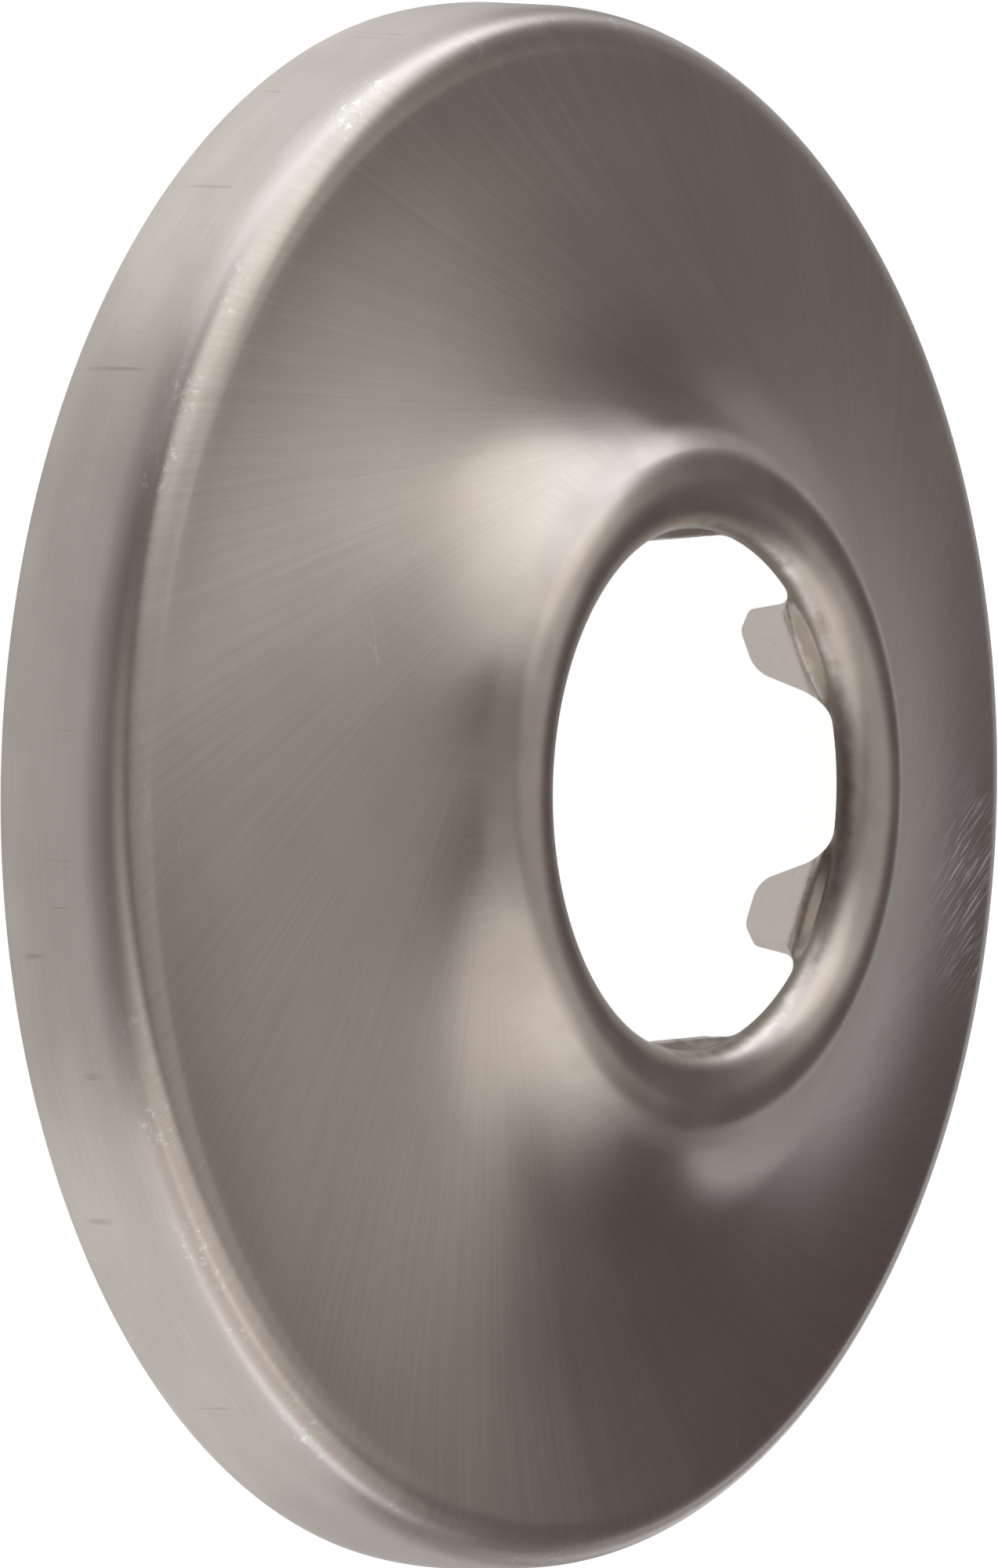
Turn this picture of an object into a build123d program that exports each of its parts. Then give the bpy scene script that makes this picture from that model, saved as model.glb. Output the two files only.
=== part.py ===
from build123d import *
import math
import os

os.makedirs("parts", exist_ok=True)

# Shower arm flange: one disc of sheet steel, pressed into a shallow bell with a rolled lip.
# The lip runs inward into a throat of six sprung fingers that grip the shower arm.
# Millimetres and degrees. +Z is the arm's axis, away from the wall; the back rim stands on Z = 0.

# Sheet
sheet = 0.5

# Skirt: the nearly upright rim that stands on the wall, its cut edge drawn in a little
rim_diameter = 66.7
skirt_height = 4.1
skirt_draft = 2.0
edge_curl_radius = 6.3
widest_height = 1.15

# Shoulder and bell face
shoulder_radius = 2.47
face_slope_outer = 9.0
face_slope_inner = 21.0
neck_radius = 13.0

# The shower arm passes through the lip with some clearance, and six creases grip it
grip_diameter = 21.2
lip_clearance = 0.41

# Rolled lip: the circle that its outer skin follows
lip_centre_height = 11.65
lip_radius = 2.06

# Throat and fingers, sizes taken on the skin that faces the arm. A gap's upper edge lies on the
# lip's circle, this many degrees above its centre, and the crease a small drop below that edge.
finger_count = 6
gap_edge_angle = 12.6
crease_drop = 0.55
crease_bend_radius = 0.75
finger_lean = 10.2
finger_length = 3.06
finger_root_half_width = 2.02
finger_tip_half_width = 1.22
finger_tip_radius = 0.95
gap_corner_radius = 1.6

# Derived sizes
pitch = 360 / finger_count
rim_radius = rim_diameter / 2
lip_centre_radius = grip_diameter / 2 + lip_clearance + lip_radius
gap_height = lip_centre_height + lip_radius * math.sin(math.radians(gap_edge_angle))


def heading(angle):
    """Unit vector in the profile plane, by its angle from the radial direction."""
    return Vector(math.cos(math.radians(angle)), math.sin(math.radians(angle)))


def skin_radius(radius, height):
    """Distance from the axis to the inner side of a circle about the lip's centre, at a height."""
    return lip_centre_radius - math.sqrt(radius**2 - (height - lip_centre_height) ** 2)


# The bell face is one large arc. Its radius follows from where the shoulder leaves off and from
# the neck arc, which has to touch both the face and the lip's circle.
skirt_heading = 90 + skirt_draft
shoulder_turn = 90 - skirt_draft - face_slope_outer
lip_centre = Vector(lip_centre_radius, lip_centre_height)

# The skin starts one sheet below the wall plane, to be trimmed flat there.
curl_angle = math.degrees(math.asin((widest_height + sheet) / edge_curl_radius))
curl_centre = Vector(rim_radius - edge_curl_radius, widest_height)

with BuildLine() as rim_line:
    curl = CenterArc(curl_centre, edge_curl_radius, -curl_angle, curl_angle + skirt_draft)
    wall_length = (skirt_height - (curl @ 1).Y) / math.cos(math.radians(skirt_draft))
    wall = PolarLine(curl @ 1, wall_length, skirt_heading)
    shoulder = JernArc(wall @ 1, heading(skirt_heading), shoulder_radius, shoulder_turn)

face_start = shoulder @ 1
face_chord = heading(90 - face_slope_outer) - heading(90 - face_slope_inner)
neck_offset = face_start + heading(90 - face_slope_inner) * neck_radius - lip_centre
square_term = face_chord.dot(face_chord)
half_linear_term = neck_offset.dot(face_chord)
constant_term = neck_offset.dot(neck_offset) - (neck_radius + lip_radius) ** 2
face_radius = (
    -half_linear_term - math.sqrt(half_linear_term**2 - square_term * constant_term)
) / square_term
neck_centre = lip_centre + neck_offset + face_chord * face_radius
neck_slope = 90 - math.degrees(
    math.atan2(neck_centre.Y - lip_centre_height, neck_centre.X - lip_centre_radius)
)

# One line is the outer skin of the whole sheet, from the cut edge at the wall to the throat.
# The sheet is that line made thick towards the inside, turned about the arm's axis.
with BuildPart() as flange:
    with BuildSketch(Plane.XZ) as section:
        with BuildLine():
            add(rim_line.line)
            face = JernArc(
                face_start,
                heading(180 - face_slope_outer),
                face_radius,
                face_slope_outer - face_slope_inner,
            )
            neck = JernArc(
                face @ 1,
                heading(180 - face_slope_inner),
                neck_radius,
                face_slope_inner - neck_slope,
            )
            JernArc(neck @ 1, heading(180 - neck_slope), lip_radius, 90 + neck_slope)
            offset(amount=sheet, side=Side.LEFT)
        make_face()
        with Locations((skin_radius(lip_radius, gap_height), gap_height)):
            Rectangle(
                lip_radius,
                lip_radius,
                align=(Align.CENTER, Align.MAX),
                mode=Mode.SUBTRACT,
            )
        with Locations((rim_radius, 0)):
            Rectangle(
                shoulder_radius,
                shoulder_radius,
                align=(Align.CENTER, Align.MAX),
                mode=Mode.SUBTRACT,
            )
    revolve(axis=Axis.Z)

# One sixth of the throat, about +X: the round edge of the lip runs into a flat finger. The root
# leans in as far as the crease, where the finger bends back and away from the arm again. The
# bend is round, so the corner that it rounds off reaches a little further in than the grip.
lip_edge_inside = skin_radius(lip_radius, gap_height)
lip_edge_outside = skin_radius(lip_radius - sheet, gap_height)
crease_height = gap_height - crease_drop
root_lean = math.degrees(math.atan2(lip_edge_inside - grip_diameter / 2, crease_drop))
mitre_angle = (root_lean - finger_lean) / 2
half_bend = math.radians((root_lean + finger_lean) / 2)
mitre_depth = sheet / math.cos(half_bend)
corner_reach = math.cos(math.radians(mitre_angle)) / math.cos(half_bend) - 1
crease_distance = grip_diameter / 2 - crease_bend_radius * corner_reach
blank_angle = 0.9 * pitch
blank_width = 2 * crease_distance * math.tan(math.radians(blank_angle / 2))


def across_finger(position, tilt):
    """Plane through the finger that holds its width and its thickness, tilted down outward."""
    down = math.radians(tilt)
    return Plane(position, x_dir=(0, 1, 0), z_dir=(-math.sin(down), 0, -math.cos(down)))


crease = Vector(crease_distance, 0, crease_height)
lean = math.radians(finger_lean)
tip = crease + Vector(math.sin(lean), 0, -math.cos(lean)) * finger_length

# A gap lies between two fingers, half a pitch from each, and is pierced straight out from the
# axis. Its sides are the edges of those two fingers, seen along the gap's own radius.
half_pitch = math.radians(pitch / 2)


def gap_half_width(distance, half_width):
    """Half the gap between the edges of two neighbouring fingers, at one place along them."""
    return distance * math.sin(half_pitch) - half_width * math.cos(half_pitch)


gap_at_crease = gap_half_width(crease_distance, finger_root_half_width)
gap_at_tip = gap_half_width(tip.X, finger_tip_half_width)
gap_flare = (gap_at_tip - gap_at_crease) / (crease_height - tip.Z)
gap_at_lip = gap_at_crease - gap_flare * (gap_height - crease_height)
gap_depth = gap_height - tip.Z + 2 * sheet
gap_at_mouth = gap_at_lip + gap_flare * gap_depth

with BuildPart() as gap_cutter:
    with BuildSketch(Plane.YZ):
        with BuildLine():
            Polyline(
                (-gap_at_mouth, gap_height - gap_depth),
                (-gap_at_lip, gap_height),
                (gap_at_lip, gap_height),
                (gap_at_mouth, gap_height - gap_depth),
                close=True,
            )
        gap_face = make_face()
        fillet(gap_face.vertices().group_by(Axis.Y)[-1], radius=gap_corner_radius)
    extrude(amount=lip_centre_radius)

# One finger, from the lip's edge over the crease to the tip, with half a gap on either side.
with BuildPart() as finger:
    with BuildSketch(Plane.XY.offset(gap_height)):
        with BuildLine():
            inside = CenterArc((0, 0), lip_edge_inside, -blank_angle / 2, blank_angle)
            outside = CenterArc((0, 0), lip_edge_outside, -blank_angle / 2, blank_angle)
            Line(inside @ 0, outside @ 0)
            Line(inside @ 1, outside @ 1)
        make_face()
    with BuildSketch(across_finger(crease, mitre_angle)):
        Rectangle(blank_width, mitre_depth, align=(Align.CENTER, Align.MIN))
    with BuildSketch(across_finger(tip, -finger_lean)):
        Rectangle(blank_width, sheet, align=(Align.CENTER, Align.MIN))
    loft(ruled=True)
    with PolarLocations(0, 2, start_angle=-pitch / 2, angular_range=pitch, endpoint=True):
        add(gap_cutter.part, mode=Mode.SUBTRACT)
    # Of the edges across the finger, the crease's two are the highest, and the one that faces
    # the arm is the nearest to the axis.
    crease_edges = finger.edges().filter_by(Axis.Y).sort_by(Axis.Z)[-2:]
    fillet(crease_edges.sort_by(Axis.X)[-1], radius=crease_bend_radius - sheet)
    fillet(finger.edges().filter_by(Axis.Y).sort_by(Axis.X)[0], radius=crease_bend_radius)
    tip_face = finger.faces().sort_by(Axis.Z)[0]
    fillet(tip_face.edges().sort_by(SortBy.LENGTH)[:2], radius=finger_tip_radius)

with flange:
    with PolarLocations(0, finger_count):
        add(finger.part)

flange.part.label = "flange_shell"
export_step(flange.part, "parts/flange_shell.step")
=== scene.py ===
# %% [markdown]
# # A shower arm flange in satin nickel
# The flange is one disc of thin sheet steel, pressed into a shallow bell. It hides the hole in
# the wall round a shower arm. The skirt stands on the wall, a shoulder turns it into the sloping
# face, and a rolled lip carries the sheet inward to six sprung fingers that grip the arm.
#
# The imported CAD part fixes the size. This lesson builds a finer skin in the same place, gives it
# the brushed finish of the photograph, and sets a small studio round it.

# %% Load the frame and keep its box
import math

import bpy
import numpy as np
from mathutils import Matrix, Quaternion, Vector


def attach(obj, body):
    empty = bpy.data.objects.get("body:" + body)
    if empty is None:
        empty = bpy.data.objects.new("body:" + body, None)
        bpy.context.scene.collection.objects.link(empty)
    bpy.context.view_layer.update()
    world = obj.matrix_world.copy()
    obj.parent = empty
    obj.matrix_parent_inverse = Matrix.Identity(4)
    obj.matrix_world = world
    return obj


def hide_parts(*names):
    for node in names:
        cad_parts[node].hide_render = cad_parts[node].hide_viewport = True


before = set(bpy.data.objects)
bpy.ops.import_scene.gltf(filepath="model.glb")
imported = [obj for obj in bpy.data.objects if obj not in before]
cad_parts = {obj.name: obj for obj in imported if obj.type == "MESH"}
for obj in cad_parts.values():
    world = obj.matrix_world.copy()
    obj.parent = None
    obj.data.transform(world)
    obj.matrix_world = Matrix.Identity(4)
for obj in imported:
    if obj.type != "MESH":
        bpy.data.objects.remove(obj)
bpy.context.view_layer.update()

print("pieces from CAD:", sorted(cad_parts))

# %% [markdown]
# ## The camera first
# The picture was taken with a long lens, a little above the rim's plane and with the flange's
# axis pointing to the right of the frame. Three angles, one distance and the lens say all of
# that. Starting with the camera means every later step can be compared with the photograph.

# %% Camera
MM = 0.001


def polar_direction(azimuth, elevation):
    """Unit vector with this azimuth from +X and this height above the horizon, in degrees."""
    turn, lift = math.radians(azimuth), math.radians(elevation)
    flat = math.cos(lift)
    return Vector((flat * math.cos(turn), flat * math.sin(turn), math.sin(lift)))


aim = Vector((-0.015, 1.067, 1.526)) * MM
camera_distance = 1669.3 * MM
camera_azimuth = -93.43
camera_elevation = 34.89
camera_roll = math.radians(91.04)
to_camera = polar_direction(camera_azimuth, camera_elevation)

camera_data = bpy.data.cameras.new("camera")
camera_data.lens = 900
camera_data.sensor_width = 36
camera_data.clip_start = 0.1
camera_data.clip_end = 20
camera = bpy.data.objects.new("camera", camera_data)
bpy.context.scene.collection.objects.link(camera)
camera.location = aim + to_camera * camera_distance
level = (-to_camera).to_track_quat("-Z", "Y")
camera.rotation_mode = "QUATERNION"
camera.rotation_quaternion = level @ Quaternion((0, 0, 1), camera_roll)
bpy.context.scene.camera = camera
print("camera at", [round(value, 3) for value in camera.location])

# %% [markdown]
# ## The section of the sheet
# A pressed bell has the same section all the way round, so the section is a line in the plane
# of radius and height, and the skin is that line carried round the axis. The line is a chain of
# straight runs and arcs, each leaving in the direction in which the last one ended. The hidden
# skin is the same chain, one sheet further in.

# %% Sizes of the pressed sheet, in millimetres
sheet = 0.5
rim_radius = 33.35
skirt_height = 4.1
skirt_draft = 2.0
edge_curl_radius = 6.3
widest_height = 1.15
shoulder_radius = 2.47
face_slope_outer = 9.0
face_slope_inner = 21.0
neck_radius = 13.0
grip_radius = 10.6
lip_clearance = 0.41
lip_radius = 2.06
lip_centre_height = 11.65
lip_centre = np.array([grip_radius + lip_clearance + lip_radius, lip_centre_height])


def heading_vector(heading):
    """Unit vector in the section plane, from its angle in degrees: (cosine, sine)."""
    angle = np.radians(heading)
    return np.stack([np.cos(angle), np.sin(angle)], axis=-1)


def arc_run(start, heading, radius, turn, count):
    """Points and headings along an arc.

    The centre lies one radius to the left of the start for a positive turn, to the right for a
    negative one, and each point is the centre minus that side vector turned by its share.
    """
    side = math.copysign(1.0, turn)
    headings = heading + np.linspace(0.0, turn, count)
    centre = start + side * radius * heading_vector(heading + 90)
    return centre - side * radius * heading_vector(headings + 90), headings


def straight_run(start, heading, length, count):
    """Points start plus t times length times the heading vector, and the same heading at each."""
    steps = np.linspace(0.0, length, count)[:, None]
    return start + steps * heading_vector(heading), np.full(count, float(heading))


# %% [markdown]
# ## From the rim to the lip
# The skirt's cut edge is drawn in a little, the wall leans in by two degrees, and a small
# shoulder turns it into the face. The face is a large arc that grows steeper towards the neck.
# Its radius isn't free: the neck's arc has to touch both the face and the circle of the lip, so
# it is found from that condition. The hidden skin shares every centre, so its outer bends are
# one sheet smaller and its hollow bends one sheet larger.

# %% The section lines of both skins
curl_centre = np.array([rim_radius - edge_curl_radius, widest_height])
skirt_heading = 90 + skirt_draft
gap_edge_angle = 12.6
gap_height = lip_centre_height + lip_radius * math.sin(math.radians(gap_edge_angle))


def neck_condition(face_start):
    """Radius of the face and slope at the neck.

    The neck circle's centre is at lip radius plus neck radius from the lip's centre. It also lies
    one neck radius beyond the end of the face, whose end moves with its radius times a fixed
    chord. That is a quadratic in the face's radius, and the smaller root is the real one.
    """
    outer = heading_vector(90 - face_slope_outer)
    inner = heading_vector(90 - face_slope_inner)
    chord = outer - inner
    offset = face_start + inner * neck_radius - lip_centre
    square = chord @ chord
    half_linear = offset @ chord
    constant = offset @ offset - (neck_radius + lip_radius) ** 2
    radius = (-half_linear - math.sqrt(half_linear**2 - square * constant)) / square
    centre = offset + chord * radius
    return radius, 90 - math.degrees(math.atan2(centre[1], centre[0]))


points_per_run = (8, 7, 20, 26, 13, 28)
hidden_fineness = 0.6


def section_line(inset, fineness):
    """The chain curl, wall, shoulder, face, neck and lip, inset from the visible skin.

    It starts where the curl's circle meets the wall plane, and ends where the lip's circle comes
    down to the upper edge of the gaps.
    """
    steps = [max(4, round(count * fineness)) for count in points_per_run]
    curl_radius = edge_curl_radius - inset
    curl_angle = math.degrees(math.asin(widest_height / curl_radius))
    start = curl_centre + curl_radius * heading_vector(-curl_angle)
    runs = [arc_run(start, 90 - curl_angle, curl_radius, curl_angle + skirt_draft, steps[0])]

    def onward(maker, *sizes):
        runs.append(maker(runs[-1][0][-1], runs[-1][1][-1], *sizes))

    rise = (skirt_height - widest_height) / math.cos(math.radians(skirt_draft))
    rise -= edge_curl_radius * math.tan(math.radians(skirt_draft))
    onward(straight_run, rise, steps[1])
    onward(arc_run, shoulder_radius - inset, 90 - skirt_draft - face_slope_outer, steps[2])
    bend = face_slope_outer - face_slope_inner
    onward(arc_run, face_radius + inset, bend, steps[3])
    onward(arc_run, neck_radius + inset, face_slope_inner - neck_slope, steps[4])
    edge_angle = math.degrees(math.asin((gap_height - lip_centre_height) / (lip_radius - inset)))
    onward(arc_run, lip_radius - inset, 90 - edge_angle + neck_slope, steps[5])
    return np.concatenate([runs[0][0]] + [run[0][1:] for run in runs[1:]])


wall_top = curl_centre + edge_curl_radius * heading_vector(skirt_draft)
wall_top = wall_top + heading_vector(skirt_heading) * (
    (skirt_height - wall_top[1]) / math.cos(math.radians(skirt_draft))
)
face_start = wall_top + shoulder_radius * (
    heading_vector(skirt_heading + 90) - heading_vector(270 - face_slope_outer)
)
face_radius, neck_slope = neck_condition(face_start)
visible_line = section_line(0.0, 1.0)
hidden_line = section_line(sheet, hidden_fineness)
print("face radius", round(face_radius, 2), "and neck slope", round(neck_slope, 2))
print("rows:", len(visible_line), "visible and", len(hidden_line), "hidden")
print("visible skin ends at", np.round(visible_line[-1], 3))

# %% [markdown]
# ## The section of one finger
# Below the gap's edge the sheet goes on only in the fingers. Each starts as part of the round
# lip and flattens towards its crease, where it is bent back. A flat plate touches a round arm
# along a short line, which is why the crease grips so well.
#
# The rows of the grid aren't evenly spaced. They crowd together at the gap's corner and at the
# tip, where the outline turns, and a cosine law puts them there.

# %% The finger's two section lines
crease_drop = 0.55
crease_bend_radius = 0.75
finger_lean = 10.2
finger_length = 3.06
finger_tip_half_width = 1.22
finger_tip_radius = 0.95
root_points_count = 11
bend_points_count = 10
straight_points_count = 15
corner_points_count = 10

root_start = visible_line[-1]
root_lean = math.degrees(math.atan2(root_start[0] - grip_radius, crease_drop))
half_bend = math.radians((root_lean + finger_lean) / 2)
mitre = (root_lean - finger_lean) / 2
corner_reach = math.cos(math.radians(mitre)) / math.cos(half_bend) - 1
crease = np.array([grip_radius - crease_bend_radius * corner_reach, gap_height - crease_drop])
blade_heading = 270 + finger_lean
tip = crease + finger_length * heading_vector(blade_heading)
tip_taper = 14.66


def finger_line(start, corner, bend_radius, end):
    """A straight root, an arc that rounds the corner, and a straight blade up to the tip.

    The arc touches both lines one tangent length from the corner: the radius times the tangent
    of half the turn. The last rows stand at tip radius times one minus the sine of an angle, so
    that they follow the round corner evenly.
    """
    root = corner - start
    root_heading = math.degrees(math.atan2(root[1], root[0])) % 360
    turn = blade_heading - root_heading
    tangent = bend_radius * math.tan(math.radians(turn / 2))
    root_end = corner - tangent * heading_vector(root_heading)
    shares = np.linspace(0, 1, root_points_count) ** 2
    root_points = start + shares[:, None] * (root_end - start)
    bend_points, _ = arc_run(root_end, root_heading, bend_radius, turn, bend_points_count)
    corner_rows = np.radians(np.linspace(tip_taper, 90, corner_points_count))
    from_tip = finger_tip_radius * (1 - np.sin(corner_rows))
    blade_length = np.linalg.norm(end - bend_points[-1])
    straight = np.linspace(blade_length, from_tip[0], straight_points_count)
    from_tip = np.concatenate([straight[1:], from_tip[1:]])
    blade_points = end - from_tip[:, None] * heading_vector(blade_heading)
    rows = np.concatenate([root_points[1:], bend_points[1:], blade_points])
    return rows, from_tip


hidden_corner = crease + sheet / math.cos(half_bend) * heading_vector(-mitre)
hidden_tip = tip + sheet * heading_vector(finger_lean)
finger_visible, from_tip = finger_line(root_start, crease, crease_bend_radius, tip)
finger_hidden, hidden_from_tip = finger_line(
    hidden_line[-1], hidden_corner, crease_bend_radius - sheet, hidden_tip
)
print("crease corner", np.round(crease, 3), "tip", np.round(tip, 3))
print("nearest to the axis:", round(finger_visible[:, 0].min(), 3))

# %% [markdown]
# ## The outline of the gaps
# The gaps are pierced straight out from the axis, so their outline is a function of height
# alone: half a width that grows downward, with two round corners under the lip. Where a finger
# meets it, the finger ends. Near the tip its own corners take over.

# %% How wide the finger is on each row
finger_root_half_width = 2.02
gap_corner_radius = 1.6
finger_count = 6
half_pitch = math.pi / finger_count
settling_rounds = 12


def gap_between(distance, half_width):
    """Half the gap's width where fingers of this half width stand at this distance."""
    return distance * math.sin(half_pitch) - half_width * math.cos(half_pitch)


gap_at_crease = gap_between(crease[0], finger_root_half_width)
gap_at_tip = gap_between(tip[0], finger_tip_half_width)
gap_flare = (gap_at_tip - gap_at_crease) / (crease[1] - tip[1])
gap_at_lip = gap_at_crease - gap_flare * crease_drop
flare_angle = math.atan(gap_flare)
corner_height = gap_height - gap_corner_radius
corner_middle = gap_at_lip + gap_flare * gap_corner_radius
corner_middle -= gap_corner_radius / math.cos(flare_angle)
corner_end = corner_height + gap_corner_radius * math.sin(flare_angle)


def gap_half_width(height):
    """Straight flaring side, and above its end the corner's circle."""
    side = gap_at_lip + gap_flare * (gap_height - height)
    drop = np.clip(height - corner_height, -gap_corner_radius, gap_corner_radius)
    corner = corner_middle + np.sqrt(gap_corner_radius**2 - drop**2)
    return np.where(height > corner_end, corner, side)


def flatness(rows, corner):
    """Nought at the lip, where a row is part of a circle, and one from the crease on."""
    return np.clip((gap_height - rows[:, 1]) / (gap_height - corner[1]), 0, 1)


def distance_at(rows, flat, azimuth):
    """Distance from the axis: the circle's, and the flat plate's over the azimuth's cosine."""
    return rows[:, 0] * (1 - flat + flat / np.cos(azimuth))


def edge_azimuth(rows, flat, tip_distances):
    """Where each row meets the gap: distance times the sine of what is left of half a pitch
    equals the gap's half width. A few rounds of substitution settle it.
    """
    azimuth = np.full(len(rows), half_pitch / 2)
    for _ in range(settling_rounds):
        reach = gap_half_width(rows[:, 1]) / distance_at(rows, flat, azimuth)
        azimuth = half_pitch - np.arcsin(reach)
    taper = math.radians(tip_taper)
    corner = rows[-1, 0] * math.tan(azimuth[-1])
    corner += finger_tip_radius * (math.tan(taper) - 1 / math.cos(taper))
    rounded = tip_distances < finger_tip_radius * (1 - math.sin(taper)) - 1e-9
    drop = np.clip(finger_tip_radius - tip_distances, 0, finger_tip_radius)
    width = corner + np.sqrt(finger_tip_radius**2 - drop**2)
    blade = slice(len(rows) - len(tip_distances), None)
    azimuth[blade] = np.where(rounded, np.arctan2(width, rows[blade, 0]), azimuth[blade])
    return azimuth


flat_visible = flatness(finger_visible, crease)
flat_hidden = flatness(finger_hidden, hidden_corner)
edge_visible = edge_azimuth(finger_visible, flat_visible, from_tip)
edge_hidden = edge_azimuth(finger_hidden, flat_hidden, hidden_from_tip)
half_widths = finger_visible[:, 0] * np.tan(edge_visible)
crease_row = finger_visible[:, 0].argmin()
print("half width at the crease", round(float(half_widths[crease_row]), 3))
print("half width at the tip", round(float(half_widths[-1]), 3))

# %% [markdown]
# ## Weaving the skin
# The body of the bell is one grid: rows along the section, columns round the axis. Each finger
# is a small grid that hangs from the last row. Both skins are built alike, and strips of quads
# close them at the rim and along the edges of the gaps, so the sheet is one closed surface.

# %% The shell's mesh
finger_columns = 44
gap_columns = 26


def column_azimuths(last_row):
    """Azimuths round the axis: a finger's share evenly, then the gap's share evenly."""
    reach = gap_half_width(np.array([last_row[1] - 1e-6]))[0] / last_row[0]
    edge = half_pitch - math.asin(reach)
    finger = np.linspace(-edge, edge, finger_columns + 1)
    gap = np.linspace(edge, 2 * half_pitch - edge, gap_columns + 1)[1:-1]
    sector = np.concatenate([finger, gap])
    return (np.arange(finger_count)[:, None] * 2 * half_pitch + sector).ravel()


def carried_round(line, azimuths):
    """Each point of the line at each azimuth: radius times cosine, radius times sine, height."""
    radius, height = line[:, :1], np.repeat(line[:, 1:], len(azimuths), axis=1)
    return np.stack([radius * np.cos(azimuths), radius * np.sin(azimuths), height], axis=-1)


def finger_grid(rows, flat, edges, middle):
    """Rows of one finger: azimuth is the edge's times a share from minus one to one."""
    share = np.linspace(-1, 1, finger_columns + 1)
    azimuth = edges[:, None] * share
    distance = rows[:, :1] * (1 - flat[:, None] + flat[:, None] / np.cos(azimuth))
    height = np.repeat(rows[:, 1:], len(share), axis=1)
    angle = azimuth + middle
    return np.stack([distance * np.cos(angle), distance * np.sin(angle), height], axis=-1)


def skin(line, rows, flat, edges, first):
    """Points, quads, rim loop and gap loop of one skin, numbered from first."""
    azimuths = column_azimuths(line[-1])
    body = carried_round(line, azimuths)
    columns = len(azimuths)
    sector = columns // finger_count
    index = first + np.arange(body.shape[0] * columns).reshape(body.shape[0], columns)
    around = np.concatenate([index, index[:, :1]], axis=1)
    points, quads, loop = [body.reshape(-1, 3)], [grid_quads(around)], []
    after = first + index.size
    for number in range(finger_count):
        grid = finger_grid(rows, flat, edges, number * 2 * half_pitch)
        own = after + np.arange(grid.shape[0] * grid.shape[1]).reshape(grid.shape[:2])
        after += own.size
        start = number * sector
        top = around[-1:, start:start + finger_columns + 1]
        whole = np.concatenate([top, own])
        points.append(grid.reshape(-1, 3))
        quads.append(grid_quads(whole))
        gap = around[-1, start + finger_columns:start + sector + 1]
        loop += [whole[:-1, 0], whole[-1, :-1], whole[::-1, -1][:-1], gap[:-1]]
    return np.concatenate(points), np.concatenate(quads), index[0], np.concatenate(loop)


def grid_quads(index):
    """Quads of a grid of vertex numbers, each turned to face away from the sheet."""
    corners = [index[:-1, :-1], index[:-1, 1:], index[1:, 1:], index[1:, :-1]]
    return np.stack(corners, axis=-1).reshape(-1, 4)


def strip_quads(one, other):
    """Quads between two closed loops of as many vertices."""
    corners = [one, other, np.roll(other, -1), np.roll(one, -1)]
    return np.stack(corners, axis=-1)


outer_points, outer_quads, outer_rim, outer_edge = skin(
    visible_line, finger_visible, flat_visible, edge_visible, 0
)
inner_points, inner_quads, inner_rim, inner_edge = skin(
    hidden_line, finger_hidden, flat_hidden, edge_hidden, len(outer_points)
)
cut_quads = np.concatenate([strip_quads(outer_rim, inner_rim), strip_quads(inner_edge, outer_edge)])
points = np.concatenate([outer_points, inner_points]) * MM
quads = np.concatenate([outer_quads, cut_quads, inner_quads[:, ::-1]])

mesh = bpy.data.meshes.new("pressed_shell")
mesh.from_pydata(points.tolist(), [], quads.tolist())
hidden_faces = np.arange(len(quads)) >= len(outer_quads) + len(cut_quads)
mesh.polygons.foreach_set("material_index", hidden_faces.astype(np.int32))
mesh.polygons.foreach_set("use_smooth", np.ones(len(quads), dtype=bool))
mesh.update()
mended = mesh.validate(verbose=False)
shell = bpy.data.objects.new("pressed_shell", mesh)
bpy.context.scene.collection.objects.link(shell)
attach(shell, "root")
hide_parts("flange_shell")
print("triangles:", 2 * len(quads), "and anything to mend:", mended)

# %% [markdown]
# ## Sheared edges
# Shears and punches leave a cut that isn't perfectly sharp, and plating rounds it further. A
# narrow bevel on the cut edges alone catches a thin line of light, as the real edges do.

# %% Round the cut edges
import bmesh

cut_angle = 50
cut_rounding = 0.05 * MM
probe = bmesh.new()
probe.from_mesh(mesh)
print("volume in cubic millimetres:", round(probe.calc_volume(signed=True) * 1e9, 1))
print("open edges:", sum(1 for edge in probe.edges if not edge.is_manifold))
probe.free()
rounding = shell.modifiers.new("sheared_edges", "BEVEL")
rounding.limit_method = "ANGLE"
rounding.angle_limit = math.radians(cut_angle)
rounding.width = cut_rounding
rounding.segments = 2
rounding.harden_normals = True

# %% [markdown]
# ## A few words for building materials
# Node materials read best as sums and products. The small class below wraps a socket, so that
# writing `a * b + 1` adds the two Math nodes. Every other node goes through one method, which
# takes the node's type, its settings and its inputs.

# %% Shader words
class Value:
    """A socket's output. Arithmetic on it adds Math nodes to the same material."""

    def __init__(self, finish, socket):
        self.finish, self.socket = finish, socket

    def maths(self, operation, *inputs):
        return self.finish.node("ShaderNodeMath", {"operation": operation}, list(inputs))

    def __add__(self, other):
        return self.maths("ADD", self, other)

    def __sub__(self, other):
        return self.maths("SUBTRACT", self, other)

    def __rsub__(self, other):
        return self.maths("SUBTRACT", other, self)

    def __mul__(self, other):
        return self.maths("MULTIPLY", self, other)

    def __truediv__(self, other):
        return self.maths("DIVIDE", self, other)

    def __rtruediv__(self, other):
        return self.maths("DIVIDE", other, self)

    def __pow__(self, other):
        return self.maths("POWER", self, other)

    __radd__ = __add__
    __rmul__ = __mul__


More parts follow.
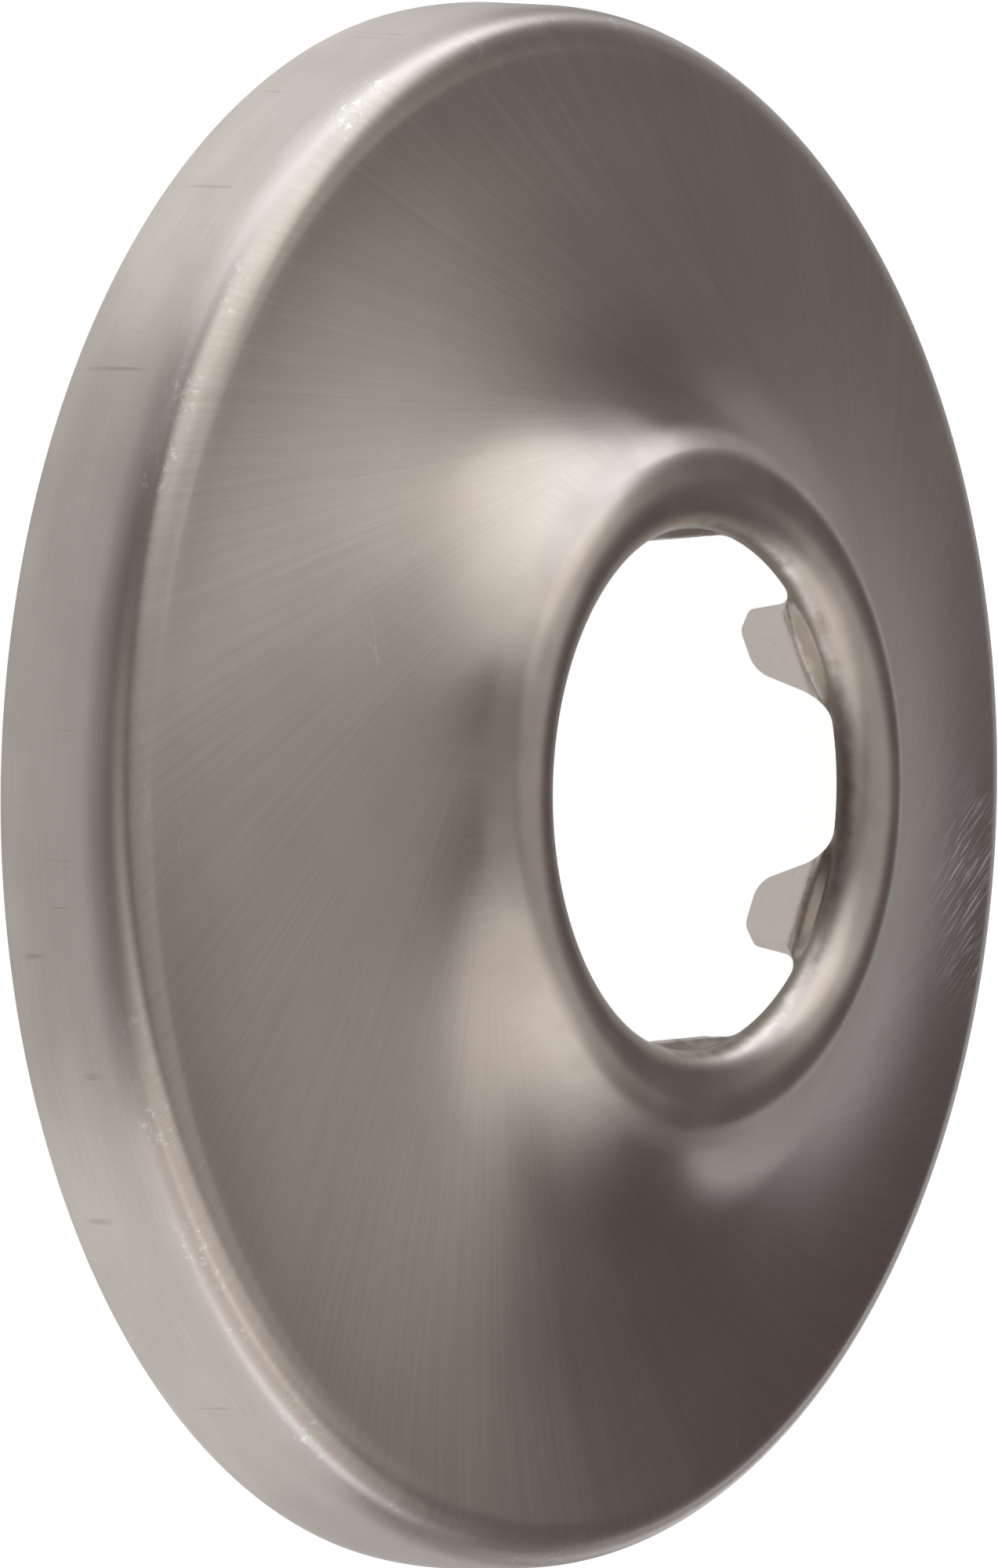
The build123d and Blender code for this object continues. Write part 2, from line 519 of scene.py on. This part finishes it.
class Finish:
    """A material under construction. One method adds any node."""

    def __init__(self, name):
        self.material = bpy.data.materials.new(name)
        self.material.use_nodes = True
        self.nodes = self.material.node_tree.nodes
        self.links = self.material.node_tree.links
        self.nodes.clear()

    def node(self, kind, settings=None, inputs=None, output=0):
        """Add a node: its settings first, then its sockets' values or links."""
        node = self.nodes.new(kind)
        for name, setting in (settings or {}).items():
            setattr(node, name, setting)
        pairs = inputs.items() if isinstance(inputs, dict) else enumerate(inputs or [])
        for name, given in pairs:
            if isinstance(given, Value):
                self.links.new(given.socket, node.inputs[name])
            else:
                node.inputs[name].default_value = given
        return Value(self, node.outputs[output]) if node.outputs else None

    def vector(self, *axes):
        return self.node("ShaderNodeCombineXYZ", None, list(axes))

    def noise(self, position, detail=2.0, roughness=0.5):
        """Cloudy noise from nought to one, a cloud to each unit of the position."""
        inputs = {"Vector": position, "Scale": 1.0, "Detail": detail, "Roughness": roughness}
        return self.node("ShaderNodeTexNoise", None, inputs)

    def blend(self, factor, below, above):
        """The colour below where the factor is nought, and the colour above where it is one."""
        settings = {"data_type": "RGBA"}
        return self.node("ShaderNodeMix", settings, {0: factor, 6: below, 7: above}, 2)


def ramp(value, low, high):
    """Nought below low, one above high, and a smooth rise between."""
    return value.finish.node(
        "ShaderNodeMapRange", {"interpolation_type": "SMOOTHSTEP"},
        {"Value": value, "From Min": low, "From Max": high},
    )


nickel = Finish("satin_nickel")
print("shader words ready")

# %% [markdown]
# ## Where a point lies on the flange
# Three zones were finished in different ways. A belt brushed the skirt round its edge, a brush
# ran over the face beside the neck, and the lip and throat kept their fine blasted grain. Height
# and distance from the axis tell the zones apart, so they are worked out once, in millimetres.

# %% Zones of the surface
place = nickel.node("ShaderNodeTexCoord", output="Object")
axes = nickel.node("ShaderNodeSeparateXYZ", None, [place]).socket.node.outputs
x, y, z = [Value(nickel, axis) * 1000 for axis in axes]
radius = (x * x + y * y) ** 0.5
skirt_end, face_start_height = 4.9, 5.8
lip_end, slope_start = 15.0, 15.7
face_zone = ramp(z, skirt_end, face_start_height)
lip_zone = 1 - ramp(radius, lip_end, slope_start)
print("skirt below", skirt_end, "mm and lip inside", slope_start, "mm")

# %% [markdown]
# ## Two ways to lay a pattern
# Most patterns are noise, and what matters is how fast it runs in each direction. Some run the
# same in every level direction. Others must run round the axis, so they take the unit vector
# towards the point instead, which turns once round the flange and doesn't jump.

# %% Positions for the patterns
east, north = x / radius, y / radius


def spread(level, upward):
    """The point, with this many clouds to a millimetre level and upward."""
    return nickel.vector(x * level, y * level, z * upward)


def wrapped(count, upward):
    """A point on a drum, with about six clouds to each count round it, and so many upward."""
    return nickel.vector(east * count, north * count, z * upward)


def band(value, low, full, fading, high):
    """One between full and fading, and nought below low and above high."""
    return ramp(value, low, full) * (1 - ramp(value, fading, high))


print("patterns can be spread or wrapped")

# %% [markdown]
# ## Brush marks that miss the axis
# Measured on the picture, every mark on the face is a straight line that passes the axis at
# about 15.8 mm, just outside the lip: the brush ran across the turning disc beside the neck.
# Such a line touches a circle of that radius. A point lies on the line whose point of touch is
# turned back from it by the arc cosine of that radius over its own. After turning every point
# back by this angle, a mark stands at one fixed azimuth, and noise that is fine across the
# azimuth and slow along the radius draws the marks. Here too the unit vector stands in for the
# azimuth. The brush didn't reach round the shoulder, so the marks fade out there.

# %% The face's brush marks
brush_offset = 15.8
widest_reach = 0.985  # holds the arc cosine steady where the lip begins
fine_count = 300
reach = radius.maths("MINIMUM", brush_offset / radius, widest_reach)
turn_back = reach.maths("ARCCOSINE", reach)
cosine = turn_back.maths("COSINE", turn_back)
sine = turn_back.maths("SINE", turn_back)
across = (x * cosine + y * sine) / radius
along = (y * cosine - x * sine) / radius


def brush_lines(count, slowness, detail):
    """Noise with about six lines to each count round the disc, slow along the radius."""
    position = nickel.vector(across * count, along * count, radius * slowness)
    return nickel.noise(position, detail, 0.6)


off_shoulder = ramp(z, 5.2, 5.9)
fine_brush = (brush_lines(fine_count, 0.16, 2) - 0.5) * off_shoulder + 0.5
broad_brush = (brush_lines(95, 0.10, 1) - 0.5) * off_shoulder + 0.5
sweeps = brush_lines(9, 0.05, 1)
print("fine lines are about", round(rim_radius / fine_count, 2), "mm wide")

# %% [markdown]
# ## Faint marks on the skirt
# The skirt was satin finished by a soft belt that ran level round the edge. Its lines are almost
# too fine to see, so height is the fast direction and the turn round the axis the slow one.
# Sliding in and out of its box left short dark scratches up the wall, which stand across those
# lines: they are fast round the axis and slow in height.

# %% The skirt's marks
level_lines = 11
skirt_lines = nickel.noise(wrapped(7, level_lines), 2, 0.6)
skirt_cloud = nickel.noise(spread(0.22, 0.5), 1, 0.5)
wall_marks = ramp(nickel.noise(wrapped(105, 0.10), 0, 0.4), 0.70, 0.80)
wall_patch = ramp(nickel.noise(spread(0.9, 0.5), 0, 0.5), 0.46, 0.66)
wall_scratches = wall_marks * wall_patch * band(z, 0.5, 1.2, 3.2, 4.0)
print("skirt lines are about", round(1 / level_lines, 2), "mm apart")

# %% [markdown]
# ## Grain and clouds
# The lip and the fingers were blasted with fine beads. That grain has no direction, so its noise
# takes the three coordinates alike. Plating is never quite even either, so a second noise of
# slow clouds shifts the colour a little everywhere.

# %% Blasted grain and clouds
grain_pace = 11
cloud_pace = 0.35
blasted = nickel.noise(spread(grain_pace, grain_pace), 1, 0.5)
clouds = nickel.noise(spread(cloud_pace, cloud_pace), 2, 0.55)
print("clouds are about", round(1 / cloud_pace, 1), "mm across")

# %% [markdown]
# ## Scratches and nicks
# Handling left a few fine light scratches across the face. They are thin lines where a slow
# noise passes through its middle value, kept only where a second noise allows it. Small bright
# nicks sit in groups along the shoulder, where the flange was knocked in its box.

# %% Scratches and nicks


def thin_line(value, middle, width):
    """One where the value is close to middle, falling to nought a width away."""
    offset = value - middle
    return 1 - ramp(offset.maths("ABSOLUTE", offset), 0.0, width)


turned = nickel.vector(x * 0.07 + y * 0.05, y * 0.42 - x * 0.24, z * 0.1)
scratch_path = nickel.noise(turned, 0, 0.4)
scratch_patch = ramp(nickel.noise(nickel.vector(x * 0.13, y * 0.13, 3.7), 1, 0.5), 0.56, 0.66)
scratches = thin_line(scratch_path, 0.5, 0.0022) * scratch_patch
nick_lowest, nick_highest = 4.8, 6.2
nick_marks = ramp(nickel.noise(wrapped(80, 4.2), 3, 0.7), 0.55, 0.63)
nick_group = ramp(nickel.noise(nickel.vector(x * 0.24, y * 0.24, 8.1), 2, 0.6), 0.50, 0.60)
nicks = nick_marks * nick_group * band(z, nick_lowest, 5.2, 5.8, nick_highest)
print("nicks lie between", nick_lowest, "and", nick_highest, "mm above the wall")

# %% [markdown]
# ## One scuffed patch
# Near the far edge something rubbed the face and left a bunch of bright scratches, which cross
# the brush marks. Stretched noise draws them, and the distance from the middle of the patch
# fades them out.

# %% The scuffed patch
scuff_x, scuff_y = 6.0, 28.5
scuff_spot = nickel.vector(x - scuff_x, y - scuff_y, 0.0)
scuff_reach = nickel.node("ShaderNodeVectorMath", {"operation": "LENGTH"}, [scuff_spot], "Value")
scuff_lines = nickel.vector(x * 8.2 + y * 4.7, y * 0.38 - x * 0.22, 5.3)
scuffs = ramp(nickel.noise(scuff_lines, 2, 0.6), 0.52, 0.66) * (1 - ramp(scuff_reach, 1.5, 6.5))
print("the scuffed patch lies", round(math.hypot(scuff_x, scuff_y), 1), "mm from the axis")

# %% [markdown]
# ## Painted shade and stains at the creases
# The hollow above each crease is darkened by a soft brown band, partly a dried water stain and
# partly painted shade of the hollow. Dark lines along the crease are partly painted shade of the
# fold and partly cracks where the bend stretched the plating, and a few cracks wander over the
# finger.

# %% Painted shade, stains and cracks at the creases
hollow_noise = nickel.noise(spread(0.8, 0.8), 3, 0.6)
hollow_height = z + (hollow_noise - 0.5) * 1.6
throat_start, throat_end = 11.6, 12.6
throat = 1 - ramp(radius, throat_start, throat_end)
# painted shade of the hollow above each crease, partly a brown water stain
hollow_shade_and_stain = band(hollow_height, 11.5, 11.9, 12.3, 13.0) * throat
crease_noise = nickel.noise(spread(2.5, 2.5), 2, 0.6)
crease_line = z + (crease_noise - 0.5) * 0.35
# heights of two dark lines along the crease: painted shade of the fold, partly plating cracks
lower_shade_line, upper_shade_line = 11.50, 11.82
crease_shade_and_cracks = thin_line(crease_line, lower_shade_line, 0.045)
crease_shade_and_cracks = crease_shade_and_cracks + thin_line(crease_line, upper_shade_line, 0.03) * 0.6
wandering = nickel.noise(spread(0.9, 1.6), 3, 0.6)
cracks_and_crease_shade = crease_shade_and_cracks * ramp(crease_noise, 0.40, 0.58)
cracks_and_crease_shade = cracks_and_crease_shade + thin_line(wandering, 0.53, 0.007) * ramp(hollow_noise, 0.48, 0.60) * 0.7
on_finger = 1 - ramp(z, 11.3, 11.75)
print("hollow shade and stains lie inside", throat_end, "mm")

# %% [markdown]
# ## Colours of the nickel
# Nickel is a warm grey metal. Where the brush cut deeper, the light comes back a little darker
# and warmer, so the tone of the marks blends two close colours. The wear and the painted shade at
# the creases are laid over that, one blend for each kind of mark.

# %% Colours
METAL = (0.645, 0.588, 0.530, 1)
WARM = (0.580, 0.522, 0.468, 1)
# dark colour for real scratches on the skirt, and for painted shade in the throat's hollows and
# along the creases
STAIN_AND_SHADE = (0.300, 0.245, 0.200, 1)
PALE = (0.800, 0.780, 0.750, 1)
FINGER = (0.700, 0.615, 0.555, 1)

tone = 0.2 * clouds + 0.4 * broad_brush + 0.4 * fine_brush
face_colour = nickel.blend(ramp(tone, 0.32, 0.68), WARM, METAL)
face_colour = nickel.blend(scratches * 0.5, face_colour, PALE)
face_colour = nickel.blend(nicks * 0.8, face_colour, PALE)
face_colour = nickel.blend(scuffs, face_colour, PALE)
skirt_tone = 0.5 * skirt_cloud + 0.5 * skirt_lines
skirt_colour = nickel.blend(ramp(skirt_tone, 0.30, 0.70), WARM, METAL)
skirt_colour = nickel.blend(wall_scratches * 0.35, skirt_colour, STAIN_AND_SHADE)
skirt_colour = nickel.blend(nicks * 0.8, skirt_colour, PALE)
lip_colour = nickel.blend(ramp(clouds, 0.35, 0.65), WARM, METAL)
lip_colour = nickel.blend(on_finger * throat, lip_colour, FINGER)
# painted shade in the hollow above each crease, with a brown stain in it
lip_colour = nickel.blend(hollow_shade_and_stain * 0.70, lip_colour, STAIN_AND_SHADE)
# painted shade along the crease, and cracks in the plating over the finger
lip_colour = nickel.blend(cracks_and_crease_shade * throat * 0.55, lip_colour, STAIN_AND_SHADE)
print("colours for the face, the skirt and the lip")

# %% [markdown]
# ## The three finishes, mixed by zone
# Brushing makes metal rougher across the marks than along them, which the anisotropy says, and
# its rotation turns that direction: nought is radial, a quarter turn runs round the axis. These
# stay constants, one set for each zone, and three for the face, where the marks lean over more
# and more towards the neck. The patterns change only the colour, the roughness and the bump.

# %% Shaders


def bump(height, size):
    """A normal from a height of nought to one that stands for this many micrometres."""
    inputs = {"Strength": 1.0, "Distance": size * 1e-6, "Height": height}
    return nickel.node("ShaderNodeBump", None, inputs)


def brushed(colour, roughness, anisotropy, turn, normal):
    """One metal shader whose brushing direction is a constant."""
    return nickel.node("ShaderNodeBsdfPrincipled", None, {
        "Base Color": colour, "Metallic": 1.0, "Roughness": roughness,
        "Anisotropic": anisotropy, "Anisotropic Rotation": turn, "Normal": normal,
    })


def brush_angle(distance):
    """Angle off the radius, as a share of a turn, of a mark at this distance from the axis."""
    return math.asin(brush_offset / distance) / math.tau


face_height = 0.7 * fine_brush + 0.3 * broad_brush - scratches * 0.3 - scuffs * 1.6
face_normal = bump(face_height, 2.3)
face_roughness = 0.26 + 0.05 * fine_brush + 0.05 * sweeps + 0.25 * scuffs
neck_ring, middle_ring, rim_ring = 18.0, 22.0, 28.0
face_brushing = 0.8
near_neck, middle, near_rim = [
    brushed(face_colour, face_roughness, face_brushing, brush_angle(ring), face_normal)
    for ring in (neck_ring, middle_ring, rim_ring)
]
outward = ramp(radius, neck_ring, middle_ring)
inner = nickel.node("ShaderNodeMixShader", None, [outward, near_neck, middle])
outward = ramp(radius, middle_ring, rim_ring)
face = nickel.node("ShaderNodeMixShader", None, [outward, inner, near_rim])
skirt_brushing, round_the_axis = 0.93, 0.25
skirt_roughness = 0.38 + 0.05 * skirt_lines
skirt_normal = bump(skirt_lines, 0.4)
skirt = brushed(skirt_colour, skirt_roughness, skirt_brushing, round_the_axis, skirt_normal)
lip_roughness = 0.31 + 0.08 * blasted + 0.10 * on_finger
lip = brushed(lip_colour, lip_roughness, 0.0, 0.0, bump(blasted, 1.0))
outside = nickel.node("ShaderNodeMixShader", None, [face_zone, skirt, face])
surface = nickel.node("ShaderNodeMixShader", None, [lip_zone, outside, lip])
nickel.node("ShaderNodeOutputMaterial", None, [surface])
mesh.materials.append(nickel.material)
print("nodes in the nickel:", len(nickel.nodes))

# %% [markdown]
# ## The hidden side
# Nobody brushes the side that faces the wall. It keeps the dull rolled surface of the sheet
# under the same plating, so it is darker, rougher and plain but for a faint rolling grain.

# %% Inner skin
back = Finish("dull_nickel")
back_place = back.node("ShaderNodeTexCoord", output="Object")
rolled = back.node("ShaderNodeMapping", None, {"Vector": back_place, "Scale": (900, 9000, 900)})
grain = back.noise(rolled, 4, 0.6)
patches = back.noise(back.node("ShaderNodeMapping", None, {
    "Vector": back_place, "Scale": (140, 140, 140)}), 3, 0.55)
back_tone = ramp(0.5 * grain + 0.5 * patches, 0.35, 0.65)
back_colour = back.blend(back_tone, (0.40, 0.36, 0.33, 1), (0.50, 0.465, 0.43, 1))
back_normal = back.node("ShaderNodeBump", None, {
    "Strength": 1.0, "Distance": 3e-6, "Height": grain})
back_surface = back.node("ShaderNodeBsdfPrincipled", None, {
    "Base Color": back_colour, "Metallic": 1.0, "Roughness": 0.44 + 0.14 * patches,
    "Normal": back_normal})
back.node("ShaderNodeOutputMaterial", None, [back_surface])
mesh.materials.append(back.material)
print("materials on the shell:", [material.name for material in mesh.materials])

# %% [markdown]
# ## A pale floor
# The flange lies on white paper. The paper glows for the camera and, close round the flange, for
# the metal that mirrors it, and it takes the soft shadow too, because the glow is only part of
# its brightness.

# %% Floor and backdrop
floor_reach = 6
corners = [(-1, -1, 0), (1, -1, 0), (1, 1, 0), (-1, 1, 0)]
floor_mesh = bpy.data.meshes.new("paper_floor")
floor_mesh.from_pydata([Vector(corner) * floor_reach for corner in corners], [], [(0, 1, 2, 3)])
floor = bpy.data.objects.new("paper_floor", floor_mesh)
bpy.context.scene.collection.objects.link(floor)

paper = Finish("white_paper")
seen = paper.node("ShaderNodeLightPath").socket.node.outputs
by_camera = Value(paper, seen["Is Camera Ray"])
by_metal = Value(paper, seen["Is Glossy Ray"]) + Value(paper, seen["Is Transmission Ray"])
spot_place = paper.node("ShaderNodeTexCoord", output="Object")
spot_distance = paper.node("ShaderNodeVectorMath", {"operation": "LENGTH"}, [spot_place], "Value")
spot_start, spot_end = 38 * MM, 58 * MM
spot = 1 - ramp(spot_distance, spot_start, spot_end)
glow = by_camera * 0.90 + by_metal * (0.05 + 0.55 * spot)
PAPER = (0.60, 0.60, 0.60, 1)
WHITE = (1, 1, 1, 1)
COOL = (0.92, 0.97, 1, 1)
paper_tint = paper.blend(by_camera, COOL, WHITE)
paper_glow = paper.node("ShaderNodeVectorMath", {"operation": "SCALE"}, {0: paper_tint, 3: glow})
paper_surface = paper.node("ShaderNodeBsdfPrincipled", None, {
    "Base Color": PAPER, "Roughness": 0.9,
    "Emission Color": paper_glow, "Emission Strength": 1.0})
paper.node("ShaderNodeOutputMaterial", None, [paper_surface])
floor_mesh.materials.append(paper.material)
print("paper floor", 2 * floor_reach, "m across")

# %% [markdown]
# ## The studio round it
# Brushed metal shows its surroundings more than itself, so the lamps are placed like the pale
# walls and windows of a room. Two long low windows give the bright flanks, larger panels above
# them fill the face, and what lies between stays dark, which leaves the soft dark fans. A thin
# strip at the far horizon lights the slope behind the lip, and a weak panel behind the camera
# lifts the throat. Each panel is given by its azimuth, its elevation, its size in metres, its
# brightness and its colour, and faces the flange.

# %% Soft panels
panel_distance = 0.8


def soft_panel(name, azimuth, elevation, size, brightness, colour):
    """An area lamp facing the origin. Its power is brightness times area times pi."""
    width, height = size
    lamp = bpy.data.lights.new(name, "AREA")
    lamp.shape = "RECTANGLE"
    lamp.size, lamp.size_y = size
    lamp.color = colour
    lamp.energy = brightness * width * height * math.pi
    panel = bpy.data.objects.new(name, lamp)
    panel.location = polar_direction(azimuth, elevation) * panel_distance
    panel.rotation_mode = "QUATERNION"
    panel.rotation_quaternion = (-panel.location).to_track_quat("-Z", "Y")
    panel.visible_camera = False
    bpy.context.scene.collection.objects.link(panel)


DAYLIGHT = (0.93, 1.0, 1.06)
ROOM = (1.0, 0.98, 0.95)
soft_panel("low_window_left", 169, 6, (1.15, 0.24), 2.9, DAYLIGHT)
soft_panel("low_window_right", 346, 6, (1.05, 0.24), 1.9, DAYLIGHT)
soft_panel("wall_left", 168, 28, (0.60, 0.36), 1.10, DAYLIGHT)
soft_panel("wall_right", 345, 28, (1.05, 0.36), 0.70, ROOM)
soft_panel("high_left", 180, 48, (0.75, 0.36), 1.00, ROOM)
soft_panel("high_right", 340, 50, (0.80, 0.36), 0.75, ROOM)
soft_panel("back_left", 128, 54, (0.42, 0.30), 0.36, ROOM)
soft_panel("back_right", 45, 54, (0.42, 0.30), 0.36, ROOM)
soft_panel("ceiling", 130, 80, (0.90, 0.90), 0.28, ROOM)
soft_panel("far_horizon", 84, 0.6, (0.90, 0.06), 1.1, DAYLIGHT)
soft_panel("behind_camera", -93, 44, (0.50, 0.30), 0.30, ROOM)
print("soft panels:", len(bpy.data.lights))

# %% [markdown]
# ## A dim room
# What the panels leave open is a dim room with a little warmth in it. The world has one colour
# and one strength for every ray, so the metal mirrors the same room that lights it.

# %% World and view
world = bpy.data.worlds.new("dim_room")
world.use_nodes = True
room = world.node_tree.nodes["Background"]
DIM_ROOM = (0.104, 0.081, 0.083, 1)
room.inputs["Color"].default_value = DIM_ROOM
room.inputs["Strength"].default_value = 1.0
bpy.context.scene.world = world
bpy.context.scene.view_settings.view_transform = "Standard"
print("room colour", DIM_ROOM[:3])
